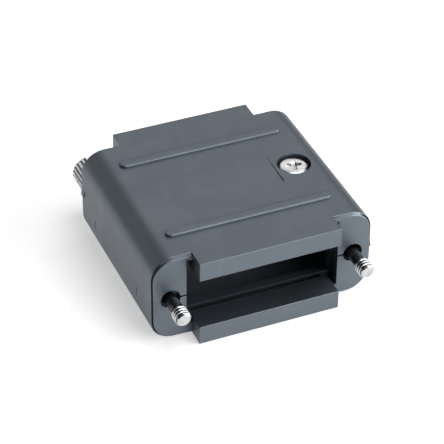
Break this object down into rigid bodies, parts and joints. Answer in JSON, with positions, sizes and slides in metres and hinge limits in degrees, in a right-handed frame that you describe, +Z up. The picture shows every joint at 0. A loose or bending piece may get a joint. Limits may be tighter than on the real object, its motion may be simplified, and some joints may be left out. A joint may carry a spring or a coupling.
{
  "type": "d-sub hood",
  "caption": "Two-ended d-sub hood: two plastic half shells with a connector opening at each end, a closing screw and two long knurled jackscrews.",
  "frame": {"origin": "middle of the underside, where the hood rests", "axes": "+X across the connectors to the side with the closing screw, +Y from the threaded ends to the knurled heads, +Z up through the roof"},
  "size_m": [0.0406, 0.0459, 0.0172],
  "materials": {
    "black_plastic": "satin black moulded plastic with a fine spark-eroded grain",
    "screw_steel": "bright nickel plating",
    "jackscrew_metal": "bright nickel plating over rolled thread and knurl"
  },
  "bodies": {
    "hood": {"upper_shell": "black_plastic", "lower_shell": "black_plastic", "closing_screw": "screw_steel"},
    "left_jackscrew": {"left_jackscrew": "jackscrew_metal"},
    "right_jackscrew": {"right_jackscrew": "jackscrew_metal"}
  },
  "joints": [
    {"name": "left_jackscrew_turn", "type": "hinge", "parent": "hood", "child": "left_jackscrew", "pos_m": [-0.01666, 0, 0.0084], "axis": [0, 1, 0], "continuous": true},
    {"name": "right_jackscrew_turn", "type": "hinge", "parent": "hood", "child": "right_jackscrew", "pos_m": [0.01666, 0, 0.0084], "axis": [0, 1, 0], "continuous": true}
  ]
}
